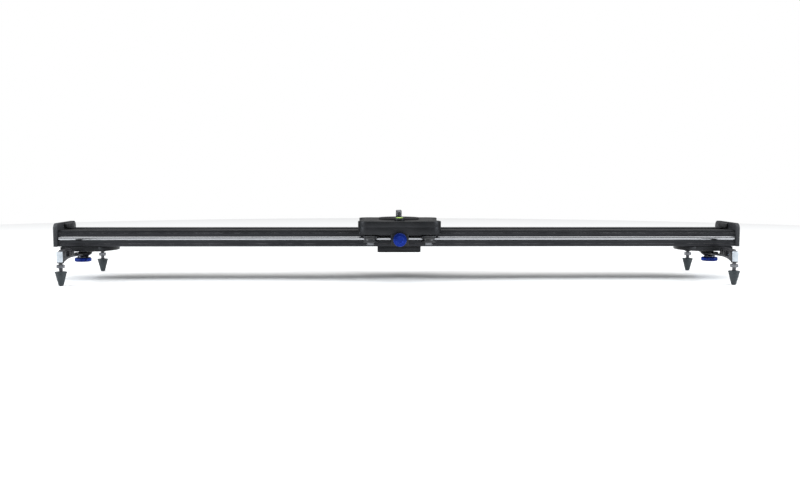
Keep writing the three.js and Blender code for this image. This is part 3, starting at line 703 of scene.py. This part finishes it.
def leg_bolt(end, look):
    node = f"leg_pivot_bolt_{end}"
    low, high, mid = extent(node)
    head = 5.3
    flats = high.x - low.x
    bm = bmesh.new()
    place = at(mid.x, mid.y, high.z - head)
    rows = [(0, 0), *nut_rows(flats, head, 3.0)[2:6]]
    rows += [(flats / 2 * 0.8, head), (flats / 2 * 0.74, head - 0.35), (0, head - 0.35)]
    add_turned(bm, rows, place, 48)
    shank = high.z - head - low.z
    add_turned(bm, [(0, -shank), (3.4, -shank), (3.9, -shank + 0.6), (3.9, 0.5), (0, 0.5)], place, 32)
    stands_for(make_object(f"leg_bolt_{end}", bm, [look["oxide"]], 25), "rail", "dark_steel", node)


def leg_knob(end, look):
    node = f"leg_knob_{end}"
    low, high, mid = extent(node)
    radius = (high.x - low.x) / 2
    tall = high.z - low.z
    rim = knurl(radius, 0.55, 60)
    rows = [(0, 0.45), (5.2, 0.45), (5.8, 0), (radius - 1.6, 0), (radius - 0.9, 0.35), (rim, 1.0)]
    rows += [(rim, tall - 1.0), (radius - 0.9, tall - 0.35), (radius - 1.6, tall)]
    rows += [(5.6, tall), (4.4, tall - 0.5), (4.3, tall - 2), (0, tall - 2)]
    bm = bmesh.new()
    add_turned(bm, rows, at(mid.x, mid.y, low.z), 240)
    made = make_object(f"knob_{end}", bm, [look["blue"]], 28)
    stands_for(made, f"leg_knob_{end}", "blue_anodised", node)


# ---------------------------------------------------------------- rail


def rail_outline(half, low, high):
    """The rail's section in (Y, Z): a top channel, and grooves for the rods with fine lines beside them."""
    groove = 3.3
    right = [(half - 1.5, low), (half - 0.5, low + 0.4), (half, low + 1.5)]
    for z in (low + 4.2, high - 4.2):
        line = [(half, z - 0.5), (half - 0.5, z - 0.3), (half - 0.5, z + 0.3), (half, z + 0.5)]
        if z > ROD_Z:
            reach = math.acos((half - ROD_Y) / groove)
            for i in range(15):
                angle = -reach + (2 * reach - 2 * math.pi) * i / 14
                right.append((ROD_Y + groove * math.cos(angle), ROD_Z + groove * math.sin(angle)))
        right += line
    right += [(half, high - 1.5), (half - 0.4, high - 0.45), (half - 1.5, high)]
    right += [(29.6, high), (29.3, high - 0.4), (28.7, high - 0.4), (28.4, high)]
    right += [(18.8, high), (18, high - 0.6), (18, high - 7.2), (17.2, high - 8)]
    return right + [(-y, z) for y, z in reversed(right)]


def add_extrusion(bm, outline, x0, x1):
    ends = []
    for x in (x0, x1):
        ends.append([bm.verts.new(Vector((x, y, z)) * MM) for y, z in outline])
    count = len(outline)
    for i in range(count):
        j = (i + 1) % count
        bm.faces.new([ends[0][i], ends[0][j], ends[1][j], ends[1][i]])
    for end in ends:
        bm.faces.new(end)


def rail(look):
    low, high, _ = extent("rail")
    bm = bmesh.new()
    add_extrusion(bm, rail_outline(high.y, low.z, high.z), low.x, high.x)
    bmesh.ops.triangulate(bm, faces=[f for f in bm.faces if len(f.verts) > 4])
    stands_for(make_object("rail_profile", bm, [look["rail"]]), "rail", "black_anodised", "rail")


def guide_rod(side, look):
    node = f"guide_rod_{side}"
    low, high, mid = extent(node)
    radius = (high.z - low.z) / 2
    length = high.x - low.x
    rows = [(0, 0), (radius - 0.5, 0), (radius, 0.6), (radius, length / 2)]
    rows += [(radius, length - 0.6), (radius - 0.5, length), (0, length)]
    bm = bmesh.new()
    add_turned(bm, rows, at(low.x, mid.y, mid.z, (1, 0, 0)), 40)
    stands_for(make_object(f"rod_{side}", bm, [look["chrome"]]), "rail", "chromed_rod", node)


def end_cap(end, look):
    node = f"end_cap_{end}"
    low, high, _ = extent(node)
    sign = ENDS[end]
    outline = [(low.y, low.z), (high.y, low.z)]
    for centre, start in ((high.y - 8, 0), (low.y + 8, math.pi / 2)):
        for i in range(9):
            angle = start + math.pi / 2 * i / 8
            outline.append((centre + 8 * math.cos(angle), high.z - 8 + 8 * math.sin(angle)))
    holes = [circle(side * CAP_SCREW_Y, CAP_SCREW_Z, 4.3) for side in SIDES.values()]
    bm = bmesh.new()
    add_slab(bm, [outline, *holes], low.x, high.x, ALONG_X, 0.9)
    seat = sorted((sign * 494.2, sign * 496.4))
    panel = sorted((sign * 498.9, sign * 499.95))
    add_slab(bm, [rectangle(-24, 52, 24, 64, 2)], *seat, ALONG_X, 0.1)
    add_slab(bm, [rectangle(-30, 68.5, 30, 79, 3)], *panel, ALONG_X, 0.35)
    stands_for(make_object(f"cap_{end}", bm, [look["cap"]]), "rail", "black_paint", node)


def cap_screw(end, side, look):
    node = f"end_cap_screw_{end}_{side}"
    low, high, mid = extent(node)
    sign = ENDS[end]
    face = high.x if sign > 0 else -low.x
    bm = bmesh.new()
    place = at(sign * (face - 2.9), mid.y, mid.z, (sign, 0, 0))
    add_turned(bm, [(0, -0.2), *socket_head_rows(4, 2.9, 2.5, 1.6)], place, 48)
    made = make_object(f"cap_screw_{end}_{side}", bm, [look["oxide"]], 25)
    stands_for(made, "rail", "dark_steel", node)


def bumper(end, look):
    node = f"bumper_{end}"
    low, high, _ = extent(node)
    bm = bmesh.new()
    loop = rectangle(low.x, low.y, high.x, high.y, 2.6, 6)
    add_slab(bm, [loop], low.z, high.z, bevel=1.2)
    stands_for(make_object(f"bump_stop_{end}", bm, [look["rubber"]], 50), "rail", "rubber", node)


def tripod_plate(look):
    low, high, _ = extent("tripod_plate")
    bm = bmesh.new()
    loops = [rectangle(low.x, low.y, high.x, high.y, 3), circle(0, 0, 4.6)]
    add_slab(bm, loops, low.z, high.z, bevel=0.8)
    insert = [(4.4, low.z + 0.2), (6.1, low.z + 0.2), (6.1, high.z - 0.5), (4.4, high.z - 0.5)]
    add_turned(bm, insert, at(0, 0, 0), 40, loop=True)
    made = make_object("plate_under_rail", bm, [look["black"]])
    stands_for(made, "rail", "black_anodised", "tripod_plate")


def tripod_pad(look):
    low, high, _ = extent("tripod_pad")
    bm = bmesh.new()
    loops = [rectangle(low.x, low.y, high.x, high.y, 3), circle(0, 0, 6.6)]
    add_slab(bm, loops, low.z + 0.5, high.z, bevel=0.2)
    count = 15
    reach = high.x - 1.5
    gap = 8.5
    for i in range(count):
        y = low.y + (high.y - low.y) * (i + 0.5) / count
        spans = [(-reach, -gap), (gap, reach)] if abs(y) < gap else [(-reach, reach)]
        for x0, x1 in spans:
            loop = rectangle(x0, y - 0.9, x1, y + 0.9, 0.8, 3)
            add_slab(bm, [loop], low.z, low.z + 0.8, bevel=0.25)
    stands_for(make_object("pad_under_plate", bm, [look["pad"]]), "rail", "rubber", "tripod_pad")


def tripod_bolt(end, look):
    node = f"tripod_bolt_{end}"
    low, high, mid = extent(node)
    bm = bmesh.new()
    place = at(mid.x, mid.y, high.z - 4)
    add_turned(bm, [(0, -0.2), *socket_head_rows((high.x - low.x) / 2, 4, 5, 2.4)], place, 48)
    shank = high.z - 4 - low.z
    add_turned(bm, [(0, -shank), (2.4, -shank), (2.9, -shank + 0.6), (2.9, 0.2), (0, 0.2)], place, 24)
    stands_for(make_object(f"plate_bolt_{end}", bm, [look["oxide"]], 25), "rail", "dark_steel", node)


# ---------------------------------------------------------------- carriage


def carriage_outline(x, y):
    """The plate's plan: rounded corners, straight sides and ends that curve in."""
    corner, waist = CARRIAGE_CORNER, CARRIAGE_WAIST
    quarter = [(corner * math.cos(a), corner * math.sin(a)) for a in (math.pi / 2 * i / 8 for i in range(9))]
    right = [(x - corner + c, -(y - corner) - s) for c, s in reversed(quarter)]
    for i in range(1, 16):
        t = i / 16
        ends, bend = (1 - t) ** 2 + t * t, 2 * t * (1 - t)
        right.append((x * ends + (x - 2 * waist) * bend, -(y - corner) * (1 - 2 * t)))
    right += [(x - corner + c, y - corner + s) for c, s in quarter]
    return right + [(-px, py) for px, py in reversed(right)]


def skirt_outline(side, x, y):
    """One skirt's plan: the plate's outer edge, cut off square at its inner face."""
    inner = SKIRT_INNER_Y
    points = [(px, py) for px, py in carriage_outline(x, y) if py * side > inner]
    edge = max(px for px, _ in points) - 0.6
    points += [(-edge, side * inner), (edge, side * inner)]
    points.sort(key=lambda p: math.atan2(p[1] - side * (inner + y) / 2, p[0]))
    return points


def carriage(look):
    low, high, _ = extent("carriage")
    x, y = high.x, high.y
    places = [(end * ROLLER_X, side * ROLLER_Y) for end in ENDS.values() for side in SIDES.values()]
    bores = [circle(px, py, 3.3, 24) for px, py in places]
    bm = bmesh.new()
    loops = [carriage_outline(x, y), circle(0, 0, 5.1), *bores]
    add_slab(bm, loops, PLATE_BOTTOM, high.z, bevel=1.1)
    for side in SIDES.values():
        mine = [b for b in bores if b[0][1] * side > 0]
        add_slab(bm, [skirt_outline(side, x, y), *mine], SKIRT_BOTTOM, PLATE_BOTTOM + 2, bevel=0.8)
    brake_block = rectangle(-13, -y, 13, -SKIRT_INNER_Y - 1.5, 1.5, 3)
    add_slab(bm, [brake_block], low.z, SKIRT_BOTTOM + 2, bevel=0.8)
    for px, py in places:
        rows = [(3.35, 0), (5.6, 0), (5.9, -0.25), (5.9, -1.2), (3.35, -1.2)]
        add_turned(bm, rows, at(px, py, high.z + 0.25), 40, loop=True)
    made = make_object("carriage_body", bm, [look["black"]])
    stands_for(made, "carriage", "black_anodised", "carriage")


def roller(where, look):
    node = f"roller_{where}"
    low, high, mid = extent(node)
    radius = (high.x - low.x) / 2
    h = (high.z - low.z) / 2
    reach, groove = 12.2, 3.4
    start = math.acos((reach - radius) / groove)
    rows = [(7.6, -h + 0.5), (8.0, -h), (radius - 0.5, -h), (radius, -h + 0.5)]
    for i in range(13):
        angle = start - 2 * start * i / 12
        rows.append((reach - groove * math.cos(angle), -groove * math.sin(angle)))
    rows += [(radius, h - 0.5), (radius - 0.5, h), (8.0, h), (7.6, h - 0.5)]
    bm = bmesh.new()
    place = at(mid.x, mid.y, mid.z)
    add_turned(bm, rows, place, 64, loop=True)
    made = make_object(f"tyre_{where}", bm, [look["acetal"]], 30)
    stands_for(made, node, "roller_polymer", node)
    bm = bmesh.new()
    ring = [(6.5, -h + 0.4), (7.65, -h + 0.3), (7.65, h - 0.3), (6.5, h - 0.4)]
    shield = [(4.5, -h + 0.9), (6.6, -h + 0.9), (6.6, h - 0.9), (4.5, h - 0.9)]
    core = [(3.15, -h + 0.1), (4.2, -h + 0.1), (4.6, -h + 0.5)]
    core += [(4.6, h - 0.5), (4.2, h - 0.1), (3.15, h - 0.1)]
    for rows in (ring, shield, core):
        add_turned(bm, rows, place, 48, loop=True)
    stands_for(make_object(f"bearing_{where}", bm, [look["zinc"]], 30), node, "plated_steel")


def roller_axle(where, look):
    node = f"roller_axle_{where}"
    low, high, mid = extent(node)
    bm = bmesh.new()
    top = 3.7
    place = at(mid.x, mid.y, low.z + top, (0, 0, -1))
    add_turned(bm, [(0, -0.2), *socket_head_rows((high.x - low.x) / 2, top, 4, 2.2)], place, 48)
    shank = high.z - low.z - top
    rows = [(0, -0.3), (2.95, -0.3), (2.95, shank - 0.5), (2.5, shank), (0, shank)]
    add_turned(bm, rows, at(mid.x, mid.y, low.z + top), 32)
    stands_for(make_object(f"axle_{where}", bm, [look["zinc"]], 25), "carriage", "plated_steel", node)


def camera_seat(look):
    low, high, mid = extent("camera_pad")
    radius = (high.x - low.x) / 2
    tall = high.z - low.z
    rows = [(5.2, 0.1), (radius - 0.1, 0), (radius, 0.4), (radius, tall - 0.6), (radius - 0.6, tall)]
    for r in range(26, 8, -3):
        rows += [(r + 0.9, tall), (r + 0.5, tall - 0.45), (r - 0.5, tall - 0.45), (r - 0.9, tall)]
    rows += [(6.0, tall), (5.2, tall - 0.4)]
    bm = bmesh.new()
    add_turned(bm, rows, at(mid.x, mid.y, low.z), 96, loop=True)
    stands_for(make_object("seat_pad", bm, [look["pad"]], 30), "carriage", "rubber", "camera_pad")
    low, high, mid = extent("camera_stud")
    root, crest = 4.1, 4.76
    bm = bmesh.new()
    place = at(mid.x, mid.y, 0)
    flange = (high.x - low.x) / 2
    under = 77.7
    rows = [(0, low.z), (flange - 0.5, low.z), (flange, low.z + 0.5)]
    rows += [(flange, under - 0.4), (flange - 0.4, under)]
    rows += [(root, under), (root, high.z - 0.9), (root - 0.9, high.z), (0, high.z)]
    add_turned(bm, rows, place, 48)
    add_thread(bm, root, crest, 1.5875, under + 0.5, high.z - 0.7, place, 28)
    stands_for(make_object("seat_screw", bm, [look["zinc"]]), "carriage", "plated_steel", "camera_stud")


def bubble_level(look):
    low, high, mid = extent("level_cup")
    radius = (high.x - low.x) / 2
    tall = high.z - low.z
    inner = radius - 1.6
    rows = [(0, 0), (radius - 0.3, 0), (radius, 0.4), (radius, tall - 0.5), (radius - 0.5, tall)]
    rows += [(inner + 0.3, tall), (inner, tall - 0.3), (inner, 1), (0, 1)]
    bm = bmesh.new()
    place = at(mid.x, mid.y, low.z)
    add_turned(bm, rows, place, 56)
    stands_for(make_object("level_housing", bm, [look["black"]]), "carriage", "black_anodised", "level_cup")
    low, high, mid = extent("level_vial")
    reach = (high.x - low.x) / 2
    dome = high.z - low.z
    rows = [(0, 0), (reach, 0), (reach, dome - 1.4)]
    for i in range(1, 8):
        angle = math.pi / 2 * i / 8
        rows.append((reach * math.cos(angle), dome - 1.4 + 1.4 * math.sin(angle)))
    rows.append((0, dome))
    bm = bmesh.new()
    place = at(mid.x, mid.y, low.z)
    add_turned(bm, rows, place, 48)
    stands_for(make_object("level_glass", bm, [look["liquid"]], 50), "carriage", "level_vial", "level_vial")
    bm = bmesh.new()
    mark = [(2.3, dome - 0.25), (2.6, dome - 0.3), (2.6, dome - 0.02), (2.3, dome + 0.03)]
    add_turned(bm, mark, place, 40, loop=True)
    stands_for(make_object("level_ring_mark", bm, [look["rubber"]]), "carriage", "rubber")


def brake(look):
    low, high, mid = extent("brake_knob")
    radius = (high.x - low.x) / 2
    head = 13
    rim = knurl(radius, 0.5, 52)
    rows = [(0, 0.6), (4.6, 0.6), (5.2, 0), (radius - 1.4, 0), (radius - 0.8, 0.3), (rim, 1.1)]
    rows += [(rim, head - 2.6), (radius - 1.2, head - 1.9), (radius - 1.5, head - 1.2), (radius - 1.5, head)]
    long = high.y - low.y
    rows += [(3.2, head), (2.95, head + 0.3), (2.95, long - 0.4), (2.6, long), (0, long)]
    bm = bmesh.new()
    add_turned(bm, rows, at(mid.x, low.y, mid.z, (0, 1, 0)), 208)
    stands_for(make_object("brake_grip", bm, [look["blue"]], 28), "brake_knob", "blue_anodised", "brake_knob")
    low, high, mid = extent("brake_shoe")
    radius = (high.x - low.x) / 2
    length = high.y - low.y
    rows = [(0, 0), (radius - 0.3, 0), (radius, 0.3)]
    rows += [(radius, length - 0.7), (radius - 0.7, length), (0, length)]
    bm = bmesh.new()
    add_turned(bm, rows, at(mid.x, low.y, mid.z, (0, 1, 0)), 32)
    stands_for(make_object("brake_pad", bm, [look["acetal"]]), "brake_shoe", "roller_polymer", "brake_shoe")


# ---------------------------------------------------------------- studio


def make_floor():
    mesh = bpy.data.meshes.new("floor")
    rim = [(x * MM, y * MM, 0) for x, y in circle(0, 0, FLOOR_RADIUS, 128)]
    mesh.from_pydata(rim, [], [tuple(range(len(rim)))])
    n = Nodes("pale_floor")
    n.set(Roughness=0.9, Specular_IOR_Level=0.1)
    n.feed("Base Color", n.mix(n.ramp(n.noise(0.8, 2), 0, 1), (0.86, 0.86, 0.86), (0.88, 0.88, 0.88)))
    mesh.materials.append(n.material)
    floor = bpy.data.objects.new("floor", mesh)
    bpy.context.scene.collection.objects.link(floor)


def area_light(name, place, aim, size, power, colour=(1, 1, 1)):
    data = bpy.data.lights.new(name, "AREA")
    data.shape = "RECTANGLE"
    data.size, data.size_y = size
    data.energy = power
    data.color = colour
    light = bpy.data.objects.new(name, data)
    light.location = place
    direction = Vector(aim) - Vector(place)
    light.rotation_euler = direction.to_track_quat("-Z", "Y").to_euler()
    bpy.context.scene.collection.objects.link(light)


def make_studio():
    make_floor()
    world = bpy.data.worlds.new("studio")
    world.use_nodes = True
    tree = world.node_tree
    background = tree.nodes["Background"]
    background.inputs["Color"].default_value = (1, 1, 1, 1)
    # The camera sees a white surround, but the surround lights the slider only weakly
    path = tree.nodes.new("ShaderNodeLightPath")
    strength = tree.nodes.new("ShaderNodeMapRange")
    strength.inputs["To Min"].default_value = 0.3
    strength.inputs["To Max"].default_value = 1.0
    tree.links.new(path.outputs["Is Camera Ray"], strength.inputs["Value"])
    tree.links.new(strength.outputs["Result"], background.inputs["Strength"])
    bpy.context.scene.world = world
    bpy.context.scene.view_settings.view_transform = "Standard"
    area_light("left_softbox", (-1.7, -0.7, 0.9), (-0.5, 0, 0.03), (0.8, 1.2), 34, (0.93, 0.97, 1))
    area_light("right_softbox", (1.7, -0.7, 0.9), (0.5, 0, 0.03), (0.8, 1.2), 34, (0.93, 0.97, 1))
    area_light("top_softbox", (0, 0.2, 3.2), (0, 0.2, 0), (5, 3.6), 112)


# ---------------------------------------------------------------- assembly

make_camera()
make_studio()
look = {**black_finishes(), **metals(), **rubbers_and_plastics()}

rail(look)
tripod_plate(look)
tripod_pad(look)
for side in SIDES:
    guide_rod(side, look)
for end in ENDS:
    end_cap(end, look)
    bumper(end, look)
    tripod_bolt(end, look)
    leg_mount(end, look)
    leg_bracket(end, look)
    leg_bolt(end, look)
    leg_knob(end, look)
    washer(f"knob_washer_{end}", f"leg_washer_{end}", f"leg_{end}", 4.4, "plated_steel", look["zinc"])
    for side in SIDES:
        where = f"{end}_{side}"
        cap_screw(end, side, look)
        foot_cone(where, look)
        foot_stem(where, look)
        lock_nut(where, look)
        washer(f"stem_washer_{where}", f"foot_washer_{where}", f"leg_{end}", 3.1, "dark_steel", look["oxide"])

carriage(look)
camera_seat(look)
bubble_level(look)
brake(look)
for where in CORNERS:
    roller(where, look)
    roller_axle(where, look)
    washer(f"spacer_{where}", f"roller_spacer_{where}", "carriage", 3.2, "plated_steel", look["zinc"])
